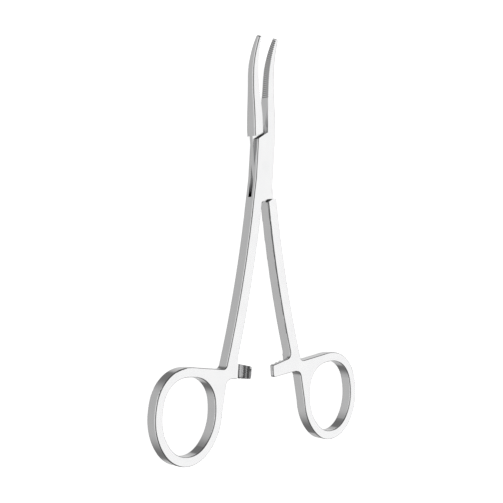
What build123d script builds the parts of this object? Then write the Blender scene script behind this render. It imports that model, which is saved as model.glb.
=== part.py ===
"""Curved mosquito forceps with a box lock, lying on its back faces.

Frame: the pin axis is Z through the origin, the back faces lie on z = 0, the jaws point to +Y and
curve up to +Z, and the finger rings lie towards -Y. Each arm is drawn closed, with the jaw faces
meeting on the plane x = 0, and is then turned about the pin by half the opening.
Lengths are in millimetres and angles in degrees.
"""

import os
from math import asin, atan2, cos, degrees, hypot, radians, sin, sqrt, tan

from build123d import *

# Stock and finish
stock_thickness = 3.5  # rings, shanks and lock
edge_radius = 0.34  # rounding of the ground outer edges
half_opening = 4.4  # each arm stands this far from closed

# Jaws, measured along Y from the pin axis
jaw_reach = 38.0
jaw_root_y = 10.6  # where the jaw leaves the full stock thickness
jaw_middle_y = 23.6
jaw_middle_width = 2.57
jaw_tip_width = 0.98
bend_start_y = 26.0
front_drop = 0.71  # how far the front face has sunk where the bend starts
back_rise = 0.40  # how far the back face has risen there
back_bend_radius = 23.5
tip_thickness = 1.43  # the end is cut square to the bend
tip_cap_radius = 0.55

# Serrations across the inner faces of the jaws
serration_pitch = 0.6
serration_depth = 0.21
serration_half_angle = 50.0
serration_length = 17.0
serration_tip_margin = 0.7

# Relief that widens the throat behind the serrations
throat_relief_start_y = 15.4
throat_relief_depth = 0.28
throat_relief_height = 2.6

# Box lock
lock_half_width = 3.5
lock_corner_y = 7.47  # where the slanting edge of a plate leaves the flank
lock_slant = 33.5  # rise of that edge from the X direction
tongue_thickness = 1.2
tongue_side_clearance = 0.05
tongue_head_setback = 0.05  # round end of the tongue to the throat
tongue_foot_radius = 10.2
tongue_end_clearance = 0.12
jaw_shoulder_gap = 0.1  # tongue arm's jaw shoulder to the throat when closed
jaw_shoulder_slant = 17.3
shank_shoulder_y = -9.75
shank_shoulder_break_x = 2.4
shank_shoulder_slant = 25.0

# Pin
pin_radius = 1.45
pin_running_clearance = 0.04
pin_seat_clearance = 0.01

# Shanks
shank_gap = 0.82  # between the two shanks at the lock when closed
shank_start_y = -10.6
shank_start_width = 3.62
shank_end_width = 3.88
shank_bow = 1.03
shank_ring_bite = 0.2  # how far the shank's outer edge runs into the ring
flank_flare_y = -4.0  # where the lock's flank starts to widen into the shank

# Finger rings, each outline of tangent arcs
ring_centre_x = 23.65
ring_centre_y = -71.9
ring_hole_half_width = 9.45
ring_hole_top = 10.45
ring_hole_bottom = 11.25
ring_side_fullness = 2.04  # radius of the side over the half width
ring_crown_fullness = 1.87  # radius of the crown over the height above the centre
ring_corner_fullness = 0.873  # radius between them over the smaller of the two
ring_foot_fullness = 0.868  # radius of the rounded foot over the half width
ring_wall = 2.7
neck_width = 1.25  # how far the neck stands inboard of the ring
neck_overlap = 0.5  # how far the neck's outline runs into the ratchet
neck_shoulder_drop = 0.7
neck_shoulder_inset = 1.0
neck_valley_radius = 1.5

# Ratchet
ratchet_above_ring = 9.83  # underside at the shank to the ring's centre
ratchet_tip_drop = 0.35  # how much lower the underside lies at the tip
ratchet_tip_height = 3.3
ratchet_top_slope = 8.5
ratchet_overhang = 1.36  # how far each tip passes the centre line when closed
ratchet_root_x = 6.6  # wall where the half thickness starts
ratchet_pass_gap = 0.1  # between the crests of the two arms
ratchet_tip_radius = 0.9
ratchet_tip_top_radius = 0.4
ratchet_top_root_radius = 1.7
ratchet_under_root_radius = 2.2
tooth_count = 3
tooth_pitch = 1.68
tooth_depth = 0.7
tooth_steep_run = 0.15
first_crest_x = 0.05

# Derived places of the shanks and the ratchet
middle_z = stock_thickness / 2
ring_left_x = ring_centre_x - ring_hole_half_width - ring_wall
ring_top_y = ring_centre_y + ring_hole_top + ring_wall
behind_rings_y = 2 * ring_centre_y
shank_end_outer_x = ring_left_x + shank_ring_bite
shank_end_inner_x = shank_end_outer_x - shank_end_width
shank_end_middle_x = (shank_end_inner_x + shank_end_outer_x) / 2
ratchet_y = ring_centre_y + ratchet_above_ring
ratchet_top_rise = tan(radians(ratchet_top_slope))
ratchet_tip_top_y = ratchet_y + ratchet_tip_height
ratchet_root_top_y = ratchet_tip_top_y + (shank_end_inner_x + ratchet_overhang) * ratchet_top_rise
ratchet_inside_y = ratchet_tip_top_y + (shank_end_middle_x + ratchet_overhang) * ratchet_top_rise

# Derived places of the lock
slant_rise = tan(radians(lock_slant))
throat_y = lock_corner_y + lock_half_width * slant_rise
jaw_shoulder_y = throat_y + jaw_shoulder_gap
jaw_shoulder_rise = tan(radians(jaw_shoulder_slant))
shank_shoulder_fall = tan(radians(shank_shoulder_slant))
shank_shoulder_low_y = (
    shank_shoulder_y - (shank_shoulder_break_x + 2 * lock_half_width) * shank_shoulder_fall
)
tongue_head_radius = throat_y - tongue_head_setback

# Derived places of the jaw's bend, seen from the side
bend_turn = asin((jaw_reach - bend_start_y) / back_bend_radius)
tip_back_z = back_rise + back_bend_radius * (1 - cos(bend_turn))
tip_front_y = jaw_reach - tip_thickness * sin(bend_turn)
tip_front_z = tip_back_z + tip_thickness * cos(bend_turn)
jaw_mid_z = (stock_thickness - front_drop + back_rise) / 2
mid_bend_run = (jaw_reach + tip_front_y) / 2 - bend_start_y
mid_bend_rise = (tip_back_z + tip_front_z) / 2 - jaw_mid_z
mid_bend_radius = (mid_bend_run**2 + mid_bend_rise**2) / (2 * mid_bend_rise)
mid_bend_turn = asin(mid_bend_run / mid_bend_radius)

# Derived centres of the ring's arcs, measured from the ring's centre
side_radius = ring_side_fullness * ring_hole_half_width
crown_radius = ring_crown_fullness * ring_hole_top
corner_radius = ring_corner_fullness * min(ring_hole_half_width, ring_hole_top)
foot_radius = ring_foot_fullness * ring_hole_half_width
foot_drop = ring_hole_bottom - foot_radius
side_x = ring_hole_half_width - side_radius
crown_y = ring_hole_top - crown_radius
side_to_crown = hypot(side_x, crown_y)
side_to_corner = side_radius - corner_radius
crown_to_corner = crown_radius - corner_radius
corner_along = (side_to_corner**2 - crown_to_corner**2 + side_to_crown**2) / (2 * side_to_crown)
corner_beside = sqrt(side_to_corner**2 - corner_along**2)
corner_x = side_x - (corner_along * side_x + corner_beside * crown_y) / side_to_crown
corner_y = (corner_along * crown_y - corner_beside * side_x) / side_to_crown
low_side_radius = (ring_hole_half_width**2 - foot_radius**2 + foot_drop**2) / (
    2 * (ring_hole_half_width - foot_radius)
)
low_side_x = ring_hole_half_width - low_side_radius
side_turn = degrees(atan2(corner_y, corner_x - side_x))
crown_turn = degrees(atan2(corner_y - crown_y, corner_x))
low_turn = degrees(atan2(foot_drop, -low_side_x))


def draw_ring(wall):
    """Draw the outline of a finger ring, grown outwards from its hole by a wall."""
    half_arcs = [
        (side_x, 0, side_radius, 0, side_turn),
        (corner_x, corner_y, corner_radius, side_turn, crown_turn - side_turn),
        (low_side_x, 0, low_side_radius, -low_turn, low_turn),
    ]
    arcs = [
        (0, crown_y, crown_radius, crown_turn, 180 - 2 * crown_turn),
        (0, -foot_drop, foot_radius, low_turn - 180, 180 - 2 * low_turn),
    ]
    for x, y, radius, start, sweep_angle in half_arcs:
        arcs.append((x, y, radius, start, sweep_angle))
        arcs.append((-x, y, radius, 180 - start - sweep_angle, sweep_angle))
    for x, y, radius, start, sweep_angle in arcs:
        centre = (ring_centre_x + x, ring_centre_y + y)
        CenterArc(centre, radius + wall, start, sweep_angle)


# One arm as a blank, with its jaw on the left and its ring on the right, before the lock is cut
with BuildPart() as blank:
    with BuildSketch() as plan:
        with BuildLine():
            flank = Line((-lock_half_width, shank_start_y), (-lock_half_width, jaw_root_y))
            taper = Line(flank @ 1, (-jaw_middle_width, jaw_middle_y))
            bow = TangentArc(taper @ 1, (-jaw_tip_width, jaw_reach), tangent=taper % 1)
            Polyline(
                bow @ 1,
                (0, jaw_reach),
                (0, jaw_root_y),
                (lock_half_width, jaw_root_y),
                (lock_half_width, flank_flare_y),
                (shank_gap / 2 + shank_start_width, shank_start_y),
                flank @ 0,
            )
        make_face()
        with BuildLine():
            inner = SagittaArc(
                (shank_gap / 2, shank_start_y), (shank_end_inner_x, ratchet_y), -shank_bow
            )
            outer = SagittaArc(
                (shank_gap / 2 + shank_start_width, shank_start_y),
                (shank_end_outer_x, ratchet_y),
                -shank_bow,
            )
            Line(inner @ 0, outer @ 0)
            Line(inner @ 1, outer @ 1)
        make_face()
        with BuildLine():
            draw_ring(ring_wall)
        make_face()
        with BuildLine():
            Polyline(
                (ring_left_x - neck_width, ratchet_y + neck_overlap),
                (ring_left_x, ring_centre_y),
                (ring_centre_x, ring_centre_y),
                (ring_centre_x, ring_top_y),
                (shank_end_outer_x - neck_shoulder_inset, ring_top_y - neck_shoulder_drop),
                close=True,
            )
        make_face()
        with BuildLine():
            Polyline(
                (-ratchet_overhang, ratchet_y - ratchet_tip_drop),
                (-ratchet_overhang, ratchet_tip_top_y),
                (shank_end_middle_x, ratchet_inside_y),
                (shank_end_middle_x, ratchet_y),
                (ratchet_root_x, ratchet_y),
                close=True,
            )
        make_face()
        with BuildLine():
            draw_ring(0)
        make_face(mode=Mode.SUBTRACT)
    extrude(amount=tip_front_z + stock_thickness)
    with BuildSketch(Plane.YZ) as side:
        with BuildLine():
            back_flat = Line((behind_rings_y, 0), (jaw_root_y, 0))
            back_half_way = ((jaw_root_y + bend_start_y) / 2, back_rise / 2)
            back_leaving = TangentArc(back_flat @ 1, back_half_way, tangent=(1, 0))
            back_rising = TangentArc(
                back_half_way, (bend_start_y, back_rise), tangent=back_leaving % 1
            )
            back_bend = TangentArc(back_rising @ 1, (jaw_reach, tip_back_z), tangent=(1, 0))
            front_flat = Line((behind_rings_y, stock_thickness), (jaw_root_y, stock_thickness))
            front_half_way = (
                (jaw_root_y + bend_start_y) / 2,
                stock_thickness - front_drop / 2,
            )
            front_leaving = TangentArc(front_flat @ 1, front_half_way, tangent=(1, 0))
            front_sinking = TangentArc(
                front_half_way,
                (bend_start_y, stock_thickness - front_drop),
                tangent=front_leaving % 1,
            )
            front_bend = TangentArc(
                front_sinking @ 1, (tip_front_y, tip_front_z), tangent=(1, 0)
            )
            Line(back_bend @ 1, front_bend @ 1)
            Line(back_flat @ 0, front_flat @ 0)
        make_face()
        cap_ends = side.vertices().sort_by(Axis.X)[-2:]
        fillet(cap_ends, min(tip_cap_radius, 0.4 * tip_thickness))
    extrude(amount=2 * ring_centre_x, both=True, mode=Mode.INTERSECT)

    def upright_near(x, y):
        """The edge of the outline that stands nearest to a place in the plan."""
        return blank.edges().filter_by(Axis.Z).sort_by_distance((x, y, middle_z))[0]

    fillet(upright_near(shank_end_outer_x, ring_top_y - neck_shoulder_drop), neck_valley_radius)
    fillet(upright_near(ring_left_x - neck_width, ratchet_y), ratchet_under_root_radius)
    fillet(upright_near(shank_end_inner_x, ratchet_root_top_y), ratchet_top_root_radius)
    fillet(upright_near(-ratchet_overhang, ratchet_y - ratchet_tip_drop), ratchet_tip_radius)
    fillet(upright_near(-ratchet_overhang, ratchet_tip_top_y), ratchet_tip_top_radius)

    def is_rim(edge):
        """True for an edge of the ground front or back outline."""
        middle = edge @ 0.5
        along = edge % 0.5
        on_jaw_face = abs(middle.X) < 0.001
        across = abs(along.X) > 0.999 and middle.Y > 2 * shank_start_y
        return not (abs(along.Z) > 0.999 or on_jaw_face or across)

    rims = blank.edges().filter_by(is_rim)
    fillet(rims, edge_radius)

    # Serrations, cut square to the mid line of the jaw from the tip towards the throat
    for step in range(int(serration_length / serration_pitch) + 1):
        travel = serration_tip_margin + step * serration_pitch
        bend = max(mid_bend_turn - travel / mid_bend_radius, 0)
        straight_travel = max(travel - mid_bend_turn * mid_bend_radius, 0)
        groove_plane = Plane(
            origin=(
                0,
                bend_start_y + mid_bend_radius * sin(bend) - straight_travel,
                jaw_mid_z + mid_bend_radius * (1 - cos(bend)),
            ),
            x_dir=(0, cos(bend), sin(bend)),
            z_dir=(0, -sin(bend), cos(bend)),
        )
        half_width = serration_depth * tan(radians(serration_half_angle))
        with BuildSketch(groove_plane):
            with BuildLine():
                Polyline(
                    (-half_width, 0),
                    (-half_width, -serration_depth),
                    (half_width, -serration_depth),
                    (half_width, 0),
                    (0, serration_depth),
                    close=True,
                )
            make_face()
    extrude(amount=stock_thickness, both=True, mode=Mode.SUBTRACT)

    # Relief of the throat, a facet on the front and back edges that grows towards the lock
    for face_z, inward in ((stock_thickness, -1), (0, 1)):
        for section_y, spread in ((throat_y, 2), (throat_relief_start_y, 1)):
            with BuildSketch(Plane.XZ.offset(-section_y)):
                with BuildLine():
                    Polyline(
                        (throat_relief_depth, face_z - inward * throat_relief_height),
                        (-spread * throat_relief_depth, face_z - inward * throat_relief_height),
                        (throat_relief_depth, face_z + spread * inward * throat_relief_height),
                        close=True,
                    )
                make_face()
        loft(mode=Mode.SUBTRACT)


ratchet_plane = Plane.XZ.offset(-ratchet_y - 1.5 * ratchet_tip_height)


def tooth_room(turn):
    """Room over the ratchet teeth in X and Z, 1 for the box arm and -1 for the tongue arm."""
    crest = -ratchet_pass_gap / 2
    floor = crest - tooth_depth
    ramp_fall = tooth_depth / (tooth_pitch - tooth_steep_run)
    points = [(-ratchet_root_x, stock_thickness), (-ratchet_root_x, floor)]
    for step in reversed(range(tooth_count)):
        crest_x = first_crest_x - step * tooth_pitch
        points.append((crest_x - tooth_steep_run, floor))
        points.append((crest_x, crest))
    end_x = 1.5 * ratchet_overhang
    points.append((end_x, crest - ramp_fall * (end_x - first_crest_x)))
    points.append((end_x, stock_thickness))
    return [(turn * x, middle_z + turn * rise) for x, rise in points]


# The arm whose jaw carries the tongue, still closed
with BuildPart() as closed_tongue_arm:
    add(blank.part)
    with BuildSketch() as tongue_ends:
        with Locations((lock_half_width, lock_half_width + lock_corner_y)):
            Rectangle(2 * lock_half_width, 2 * lock_corner_y)
        with BuildLine():
            Polyline(
                (-2 * lock_half_width, -lock_corner_y),
                (shank_gap / 2, -lock_corner_y),
                (shank_gap / 2, 2 * shank_start_y),
                (-2 * lock_half_width, 2 * shank_start_y),
                close=True,
            )
        make_face()
        with BuildLine():
            head = CenterArc((0, 0), tongue_head_radius, 0, 180)
            foot = CenterArc((0, 0), tongue_foot_radius, 180, 180)
            Line(head @ 1, foot @ 0)
            Line(foot @ 1, head @ 0)
        make_face(mode=Mode.SUBTRACT)
    extrude(amount=stock_thickness, mode=Mode.SUBTRACT)
    with BuildSketch() as plate_room:
        with BuildLine():
            Polyline(
                (-2 * lock_half_width, jaw_shoulder_y - 2 * lock_half_width * jaw_shoulder_rise),
                (2 * lock_half_width, jaw_shoulder_y + 2 * lock_half_width * jaw_shoulder_rise),
                (2 * lock_half_width, shank_shoulder_y),
                (shank_shoulder_break_x, shank_shoulder_y),
                (-2 * lock_half_width, shank_shoulder_low_y),
                close=True,
            )
        make_face()
    tongue_back_z = middle_z - tongue_thickness / 2
    tongue_front_z = middle_z + tongue_thickness / 2
    extrude(amount=tongue_back_z, mode=Mode.SUBTRACT)
    with BuildSketch(Plane.XY.offset(tongue_front_z)):
        add(plate_room.sketch)
    extrude(amount=tongue_back_z, mode=Mode.SUBTRACT)
    with BuildSketch():
        Circle(pin_radius + pin_running_clearance)
    extrude(amount=stock_thickness, mode=Mode.SUBTRACT)
    with BuildSketch(ratchet_plane):
        with BuildLine():
            Polyline(tooth_room(-1), close=True)
        make_face()
    extrude(amount=2 * ratchet_tip_height, mode=Mode.SUBTRACT)


# The arm with the box, mirrored from the blank, still closed
with BuildPart() as closed_box_arm:
    add(mirror(blank.part, about=Plane.YZ))
    with BuildSketch() as plate_ends:
        with BuildLine():
            Polyline(
                (-2 * lock_half_width, throat_y - 2 * lock_half_width * slant_rise),
                (0, throat_y),
                (0, 2 * throat_y),
                (-2 * lock_half_width, 2 * throat_y),
                close=True,
            )
        make_face()
        with BuildLine():
            Polyline(
                (2 * lock_half_width, 2 * lock_half_width * slant_rise - throat_y),
                (0, -throat_y),
                (-shank_gap / 2, shank_start_y),
                (-shank_gap / 2, 2 * shank_start_y),
                (2 * lock_half_width, 2 * shank_start_y),
                close=True,
            )
        make_face()
    extrude(amount=stock_thickness, mode=Mode.SUBTRACT)
    slot_height = tongue_thickness + 2 * tongue_side_clearance
    with BuildSketch(Plane.XY.offset(middle_z - slot_height / 2)):
        with BuildLine():
            head = CenterArc((0, 0), tongue_head_radius + tongue_end_clearance, 0, 180)
            foot = CenterArc((0, 0), tongue_foot_radius + tongue_end_clearance, 180, 180)
            Line(head @ 1, foot @ 0)
            Line(foot @ 1, head @ 0)
        make_face()
    extrude(amount=slot_height, mode=Mode.SUBTRACT)
    with BuildSketch():
        Circle(pin_radius + pin_seat_clearance)
    extrude(amount=stock_thickness, mode=Mode.SUBTRACT)
    with BuildSketch(ratchet_plane):
        with BuildLine():
            Polyline(tooth_room(1), close=True)
        make_face()
    extrude(amount=2 * ratchet_tip_height, mode=Mode.SUBTRACT)


# Both arms turned to where they stand in the open forceps, and the pin
with BuildPart() as tongue_arm:
    add(closed_tongue_arm.part, rotation=(0, 0, half_opening))

with BuildPart() as box_arm:
    add(closed_box_arm.part, rotation=(0, 0, -half_opening))

with BuildPart() as lock_pin:
    with BuildSketch():
        Circle(pin_radius)
    extrude(amount=stock_thickness)

os.makedirs("parts", exist_ok=True)

tongue_arm.part.label = "tongue_arm"
export_step(tongue_arm.part, "parts/tongue_arm.step")

box_arm.part.label = "box_arm"
export_step(box_arm.part, "parts/box_arm.step")

lock_pin.part.label = "lock_pin"
export_step(lock_pin.part, "parts/lock_pin.step")
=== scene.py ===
"""Curved mosquito forceps of satin steel, slightly open on a pale floor in soft studio light."""

import bpy
from mathutils import Matrix, Vector

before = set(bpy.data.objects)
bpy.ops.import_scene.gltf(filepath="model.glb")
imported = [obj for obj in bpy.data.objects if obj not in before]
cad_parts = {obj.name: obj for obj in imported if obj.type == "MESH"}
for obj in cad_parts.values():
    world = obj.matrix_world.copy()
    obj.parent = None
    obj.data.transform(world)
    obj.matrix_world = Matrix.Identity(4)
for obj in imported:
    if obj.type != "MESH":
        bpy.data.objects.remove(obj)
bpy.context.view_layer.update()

# Camera
# It stands to the left of the forceps and looks down at the middle of it at 46 degrees, with a
# slightly long lens.
camera_place = Vector((-0.2109, -0.0244, 0.2137))
camera_right = Vector((0.7155, 0.0010, 0.6986))
camera_up = Vector((0.0008, 1.0, -0.0023))
camera_back = camera_right.cross(camera_up)
camera_data = bpy.data.cameras.new("studio_camera")
camera_data.lens = 72.81
camera_data.sensor_width = 36.0
camera = bpy.data.objects.new("studio_camera", camera_data)
bpy.context.scene.collection.objects.link(camera)
camera_axes = Matrix((camera_right, camera_up, camera_back)).transposed()
camera.matrix_world = Matrix.Translation(camera_place) @ camera_axes.to_4x4()
bpy.context.scene.camera = camera
bpy.context.scene.view_settings.view_transform = "Standard"

# Steel of the box arm
# The arm with the box, the left shank and the left ring is one forging of hardened stainless
# steel. It is ground along its length, blasted to a satin face and polished bare on its edges.
arm_turn = 0.0768  # radians: each arm stands open by 4.4 degrees


def grey(level):
    """An opaque grey."""
    return (level, level, level, 1.0)


def plug(tree, source, socket):
    """Sets a socket to a number or a colour, or links an output to it."""
    if isinstance(source, (int, float, tuple)):
        socket.default_value = source
    else:
        tree.links.new(source, socket)


def worked_out(tree, operation, *values):
    """The result of a Math node on outputs or numbers."""
    node = tree.nodes.new("ShaderNodeMath")
    node.operation = operation
    for socket, value in zip(node.inputs, values):
        plug(tree, value, socket)
    return node.outputs[0]


def axes_of(tree, vector):
    """The X, Y and Z of a vector."""
    parts = tree.nodes.new("ShaderNodeSeparateXYZ")
    tree.links.new(vector, parts.inputs[0])
    return parts.outputs


def share_between(tree, value, low, high, easing="LINEAR"):
    """A share that goes from 0 to 1 while a value goes from low to high."""
    ramp = tree.nodes.new("ShaderNodeMapRange")
    ramp.interpolation_type = easing
    plug(tree, value, ramp.inputs["Value"])
    plug(tree, low, ramp.inputs["From Min"])
    plug(tree, high, ramp.inputs["From Max"])
    return ramp.outputs["Result"]


def blended(tree, share, first, second):
    """The first colour where the share is 0 and the second where it is 1."""
    mix = tree.nodes.new("ShaderNodeMix")
    mix.data_type = "RGBA"
    plug(tree, share, mix.inputs["Factor"])
    plug(tree, first, mix.inputs["A"])
    plug(tree, second, mix.inputs["B"])
    return mix.outputs["Result"]


def noise(tree, place, scale, detail, roughness=0.5):
    """A noise texture at a place, with its scale in waves per metre."""
    texture = tree.nodes.new("ShaderNodeTexNoise")
    texture.inputs["Detail"].default_value = detail
    texture.inputs["Roughness"].default_value = roughness
    plug(tree, place, texture.inputs["Vector"])
    plug(tree, scale, texture.inputs["Scale"])
    return texture.outputs["Fac"]


def group_with(name, inputs, outputs):
    """A shader node group with named number inputs and outputs, and its two end nodes."""
    group = bpy.data.node_groups.new(name, "ShaderNodeTree")
    for label, start in inputs.items():
        socket = group.interface.new_socket(label, in_out="INPUT", socket_type="NodeSocketFloat")
        socket.default_value = start
    for label in outputs:
        group.interface.new_socket(label, in_out="OUTPUT", socket_type="NodeSocketFloat")
    return group, group.nodes.new("NodeGroupInput"), group.nodes.new("NodeGroupOutput")


def satin_blasting():
    """Fine pitting from bead blasting: an even grain, with faint cloudy patches."""
    group, start, end = group_with(
        "satin_blasting",
        {"Grains per Metre": 9000.0, "Patches per Metre": 220.0},
        ("Height", "Patch"),
    )
    place = group.nodes.new("ShaderNodeTexCoord").outputs["Object"]
    grain = noise(group, place, start.outputs["Grains per Metre"], detail=3.0)
    patch = noise(group, place, start.outputs["Patches per Metre"], detail=2.0)
    group.links.new(grain, end.inputs["Height"])
    group.links.new(patch, end.inputs["Patch"])
    return group


def grinding_lines():
    """Faint lines that the belt left along the arm, long in Y and fine across it."""
    group, start, end = group_with(
        "grinding_lines", {"Lines per Metre": 5200.0, "Length Ratio": 0.03}, ("Height",)
    )
    place = axes_of(group, group.nodes.new("ShaderNodeTexCoord").outputs["Object"])
    along = worked_out(group, "MULTIPLY", place["Y"], start.outputs["Length Ratio"])
    stretched = group.nodes.new("ShaderNodeCombineXYZ")
    group.links.new(place["X"], stretched.inputs["X"])
    group.links.new(along, stretched.inputs["Y"])
    group.links.new(place["Z"], stretched.inputs["Z"])
    per_metre = start.outputs["Lines per Metre"]
    lines = noise(group, stretched.outputs[0], per_metre, detail=4.0, roughness=0.65)
    group.links.new(lines, end.inputs["Height"])
    return group


def edge_polish():
    """Mask of the outer edges, where handling and buffing leave the steel bare and bright."""
    group, start, end = group_with("edge_polish", {"Reach": 0.0003}, ("Mask",))
    rounded = group.nodes.new("ShaderNodeBevel")
    rounded.samples = 6
    group.links.new(start.outputs["Reach"], rounded.inputs["Radius"])
    surface = group.nodes.new("ShaderNodeNewGeometry")
    agreement = group.nodes.new("ShaderNodeVectorMath")
    agreement.operation = "DOT_PRODUCT"
    group.links.new(rounded.outputs["Normal"], agreement.inputs[0])
    group.links.new(surface.outputs["Normal"], agreement.inputs[1])
    on_a_face, on_an_edge = 1.0, 0.80
    mask = share_between(group, agreement.outputs["Value"], on_a_face, on_an_edge)
    group.links.new(mask, end.inputs["Mask"])
    return group


def groove_floor():
    """Mask of the floors of the cross grooves, where a dark grey paints in the shade that falls
    between the crests.
    """
    group, start, end = group_with(
        "groove_floor",
        {"Turn": 0.0, "Crest": 0.00014, "Floor": 0.00016, "Start": 0.0198},
        ("Mask",),
    )
    shut = group.nodes.new("ShaderNodeVectorRotate")
    shut.rotation_type = "Z_AXIS"
    place = group.nodes.new("ShaderNodeTexCoord").outputs["Object"]
    group.links.new(place, shut.inputs["Vector"])
    group.links.new(start.outputs["Turn"], shut.inputs["Angle"])
    place_when_shut = axes_of(group, shut.outputs[0])
    depth = worked_out(group, "ABSOLUTE", place_when_shut["X"])
    sunk = share_between(group, depth, start.outputs["Crest"], start.outputs["Floor"])
    deepest = 0.00024
    shallow = worked_out(group, "LESS_THAN", depth, deepest)
    in_jaw = worked_out(group, "GREATER_THAN", place_when_shut["Y"], start.outputs["Start"])
    facing = axes_of(group, group.nodes.new("ShaderNodeNewGeometry").outputs["Normal"])
    upward = worked_out(group, "ABSOLUTE", facing["Z"])
    most_upward = 0.5
    upright = worked_out(group, "LESS_THAN", upward, most_upward)
    inside = worked_out(group, "MULTIPLY", shallow, worked_out(group, "MULTIPLY", in_jaw, upright))
    group.links.new(worked_out(group, "MULTIPLY", sunk, inside), end.inputs["Mask"])
    return group


def sheltered_corners():
    """Mask of deep slots and inner corners found by ambient occlusion, where a near-black grey
    paints in the shade that falls there.
    """
    group, start, end = group_with(
        "sheltered_corners", {"Reach": 0.0022, "Open": 0.40, "Closed": 0.22}, ("Mask",)
    )
    shelter = group.nodes.new("ShaderNodeAmbientOcclusion")
    shelter.samples = 8
    group.links.new(start.outputs["Reach"], shelter.inputs["Distance"])
    sky = shelter.outputs["AO"]
    mask = share_between(group, sky, start.outputs["Open"], start.outputs["Closed"])
    group.links.new(mask, end.inputs["Mask"])
    return group


blasting_group = satin_blasting()
grinding_group = grinding_lines()
polish_group = edge_polish()
painted_groove_shade_group = groove_floor()
painted_corner_shade_group = sheltered_corners()


def placed(tree, group):
    """One use of a node group in a material."""
    node = tree.nodes.new("ShaderNodeGroup")
    node.node_tree = group
    return node


def satin_steel(name, shade, bright_edge, turn):
    """Satin steel: the greys of its faces and polished edges, painted shade in its grooves and
    corners, and how far its arm stands open.
    """
    steel = bpy.data.materials.new(name)
    steel.use_nodes = True
    tree = steel.node_tree
    shader = tree.nodes["Principled BSDF"]
    shader.inputs["Metallic"].default_value = 1.0
    blasting = placed(tree, blasting_group)
    grinding = placed(tree, grinding_group)
    polish = placed(tree, polish_group)
    groove_shade_node = placed(tree, painted_groove_shade_group)
    groove_shade_node.inputs["Turn"].default_value = turn
    corners = placed(tree, painted_corner_shade_group)

    patch = blasting.outputs["Patch"]
    dark_share, dark_blue_share, pale_share = 0.96, 0.97, 1.04
    dark_patch = (shade * dark_share, shade * dark_share, shade * dark_blue_share, 1.0)
    pale_patch = grey(shade * pale_share)
    painted_groove_shade_grey, painted_corner_shade_grey = grey(0.22), grey(0.03)
    colour = blended(tree, patch, dark_patch, pale_patch)
    colour = blended(tree, polish.outputs["Mask"], colour, grey(bright_edge))
    # Painted shade: a dark grey in the groove floors of the jaws, where shade falls between the
    # crests.
    colour = blended(tree, groove_shade_node.outputs["Mask"], colour, painted_groove_shade_grey)
    # Painted shade: near-black where ambient occlusion finds deep slots and inner corners.
    colour = blended(tree, corners.outputs["Mask"], colour, painted_corner_shade_grey)
    tree.links.new(colour, shader.inputs["Base Color"])

    smoothest, patch_roughness, buffing = 0.05, 0.10, 0.06
    cloudy = worked_out(tree, "MULTIPLY_ADD", patch, patch_roughness, smoothest)
    buffed = worked_out(tree, "MULTIPLY", polish.outputs["Mask"], buffing)
    rough = worked_out(tree, "SUBTRACT", cloudy, buffed)
    tree.links.new(rough, shader.inputs["Roughness"])

    grain_depth, line_depth = 0.0000015, 0.0000035
    grain_bump = tree.nodes.new("ShaderNodeBump")
    grain_bump.inputs["Distance"].default_value = grain_depth
    tree.links.new(blasting.outputs["Height"], grain_bump.inputs["Height"])
    line_bump = tree.nodes.new("ShaderNodeBump")
    line_bump.inputs["Distance"].default_value = line_depth
    tree.links.new(grinding.outputs["Height"], line_bump.inputs["Height"])
    tree.links.new(grain_bump.outputs["Normal"], line_bump.inputs["Normal"])
    tree.links.new(line_bump.outputs["Normal"], shader.inputs["Normal"])
    return steel


def dress(node, steel):
    """Gives a CAD node its steel."""
    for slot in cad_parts[node].material_slots:
        slot.link = "OBJECT"
        slot.material = steel


dress("box_arm", satin_steel("box_arm_steel", shade=0.72, bright_edge=0.74, turn=arm_turn))

# Steel of the tongue arm
# The arm with the tongue, the right shank and the right ring is the second forging, of the same
# steel, ground and blasted in the same way. The pin holds its tongue in the box.
dress("tongue_arm", satin_steel("tongue_arm_steel", shade=0.72, bright_edge=0.74, turn=-arm_turn))

# Steel of the lock pin
# The rivet is the same steel as the plates that hold it. It is hammered tight, then ground and
# polished flush with both plates, so that its heads hardly show.
dress("lock_pin", satin_steel("lock_pin_steel", shade=0.71, bright_edge=0.73, turn=0.0))

# Floor
# A wide sheet of white acrylic, lit evenly from below as in product studios, so that the forceps
# throws hardly any shadow on it. The forceps rests on it with its back faces.
half_side = 1.5
floor_drop = 0.00002
floor_mesh = bpy.data.meshes.new("floor_sheet")
floor_mesh.from_pydata(
    [
        (-half_side, -half_side, 0),
        (half_side, -half_side, 0),
        (half_side, half_side, 0),
        (-half_side, half_side, 0),
    ],
    [],
    [(0, 1, 2, 3)],
)
floor = bpy.data.objects.new("floor_sheet", floor_mesh)
bpy.context.scene.collection.objects.link(floor)
floor.location.z = -floor_drop
acrylic = bpy.data.materials.new("white_acrylic")
acrylic.use_nodes = True
acrylic_shader = acrylic.node_tree.nodes["Principled BSDF"]
acrylic_shader.inputs["Base Color"].default_value = grey(0.86)
acrylic_shader.inputs["Roughness"].default_value = 0.9
acrylic_shader.inputs["Emission Color"].default_value = grey(1.0)
acrylic_shader.inputs["Emission Strength"].default_value = 0.95
floor.data.materials.append(acrylic)
floor.visible_glossy = False

# Studio light
# The steel mirrors the room: a large soft box on the right, dark cloth at the head and the foot
# of the table, and behind the camera a bright low wall with a pale strip in the dark above it.
room = bpy.data.worlds.new("studio_room")
room.use_nodes = True
bpy.context.scene.world = room
air = room.node_tree
air.nodes.clear()
way = axes_of(air, air.nodes.new("ShaderNodeTexCoord").outputs["Generated"])
brightest = 1.5


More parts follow.
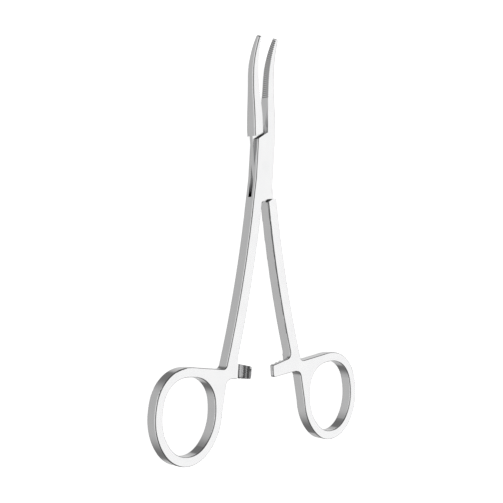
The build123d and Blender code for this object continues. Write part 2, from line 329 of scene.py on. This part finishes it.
def by_height(name, stops):
    """Brightness of one side of the room, from below (-1) through the horizon (0) to above (1)."""
    half = 0.5
    height = worked_out(air, "MULTIPLY_ADD", way["Z"], half, half)
    ramp = air.nodes.new("ShaderNodeValToRGB")
    ramp.label = name
    ramp.color_ramp.interpolation = "EASE"
    marks = ramp.color_ramp.elements
    while len(marks) < len(stops):
        marks.new(half)
    for mark, (level, _) in zip(marks, stops):
        mark.position = half + level * half
    for mark, (_, brightness) in zip(marks, stops):
        mark.color = grey(brightness / brightest)
    air.links.new(height, ramp.inputs["Fac"])
    return ramp.outputs["Color"]


def eased(value, low, high):
    """A share that eases from 0 to 1 while a value goes from low to high."""
    return share_between(air, value, low, high, easing="SMOOTHSTEP")


ends = by_height(
    "head and foot",
    [
        (-1.0, 0.45),
        (-0.71, 0.20),
        (-0.56, 0.20),
        (-0.35, 0.25),
        (-0.10, 0.15),
        (0.26, 0.16),
        (0.42, 0.10),
        (0.93, 0.08),
        (0.97, 0.45),
        (1.0, 0.45),
    ],
)
camera_side = by_height(
    "camera side",
    [
        (-1.0, 0.50),
        (-0.60, 0.635),
        (-0.42, 1.35),
        (0.28, 1.30),
        (0.40, 0.07),
        (0.62, 0.07),
        (0.67, 0.68),
        (0.74, 0.62),
        (0.79, 0.07),
        (0.93, 0.06),
        (0.97, 0.45),
        (1.0, 0.45),
    ],
)
above_soft_box = [(0.84, 1.25), (0.90, 0.05), (0.95, 0.05), (0.98, 0.45), (1.0, 0.45)]
soft_box = by_height(
    "soft box",
    [
        (-1.0, 0.5),
        (-0.71, 0.75),
        (-0.55, 0.70),
        (-0.40, 0.08),
        (0.18, 0.06),
        (0.34, 1.25),
        *above_soft_box,
    ],
)
beside_soft_box = by_height(
    "beside the soft box",
    [
        (-1.0, 0.5),
        (-0.71, 0.60),
        (-0.40, 0.14),
        (0.16, 0.08),
        (0.32, 1.25),
        *above_soft_box,
    ],
)

# The camera side fades in to the left, and starts further left in all but its lowest part.
shortest = 0.001
lift_start, lift_full, left_shift = -0.68, -0.50, 0.35
camera_side_start, camera_side_full = 0.0, -0.8
x_squared = worked_out(air, "MULTIPLY", way["X"], way["X"])
flat_squared = worked_out(air, "MULTIPLY_ADD", way["Y"], way["Y"], x_squared)
flat_length = worked_out(air, "MAXIMUM", worked_out(air, "SQRT", flat_squared), shortest)
rightward = worked_out(air, "DIVIDE", way["X"], flat_length)
lifted = eased(way["Z"], lift_start, lift_full)
leaning = worked_out(air, "MULTIPLY_ADD", lifted, left_shift, rightward)
towards_camera = eased(leaning, camera_side_start, camera_side_full)

# The right side fades in to the right, and starts further right higher up and near the head.
low_end, high_end, height_shift = -0.60, 0.60, -0.22
head_start, head_full, head_shift = 0.35, 0.75, -0.20
right_side_start, right_side_full = 0.16, 0.38
risen = eased(way["Z"], low_end, high_end)
set_back = worked_out(air, "MULTIPLY_ADD", risen, height_shift, way["X"])
headward = eased(way["Y"], head_start, head_full)
set_back = worked_out(air, "MULTIPLY_ADD", headward, head_shift, set_back)
towards_right = eased(set_back, right_side_start, right_side_full)

# The soft box fills the middle of the right side, and the rest of it lies beside.
middle_end, beside_start = 0.28, 0.50
off_centre = eased(worked_out(air, "ABSOLUTE", way["Y"]), middle_end, beside_start)
right_side = blended(air, off_centre, soft_box, beside_soft_box)
other_sides = blended(air, towards_camera, ends, camera_side)
room_seen = blended(air, towards_right, other_sides, right_side)
backdrop = 1.0
seen_by_camera = air.nodes.new("ShaderNodeLightPath").outputs["Is Camera Ray"]
shown = blended(air, seen_by_camera, room_seen, grey(backdrop / brightest))
glow = air.nodes.new("ShaderNodeBackground")
air.links.new(shown, glow.inputs["Color"])
glow.inputs["Strength"].default_value = brightest
air.links.new(glow.outputs[0], air.nodes.new("ShaderNodeOutputWorld").inputs["Surface"])
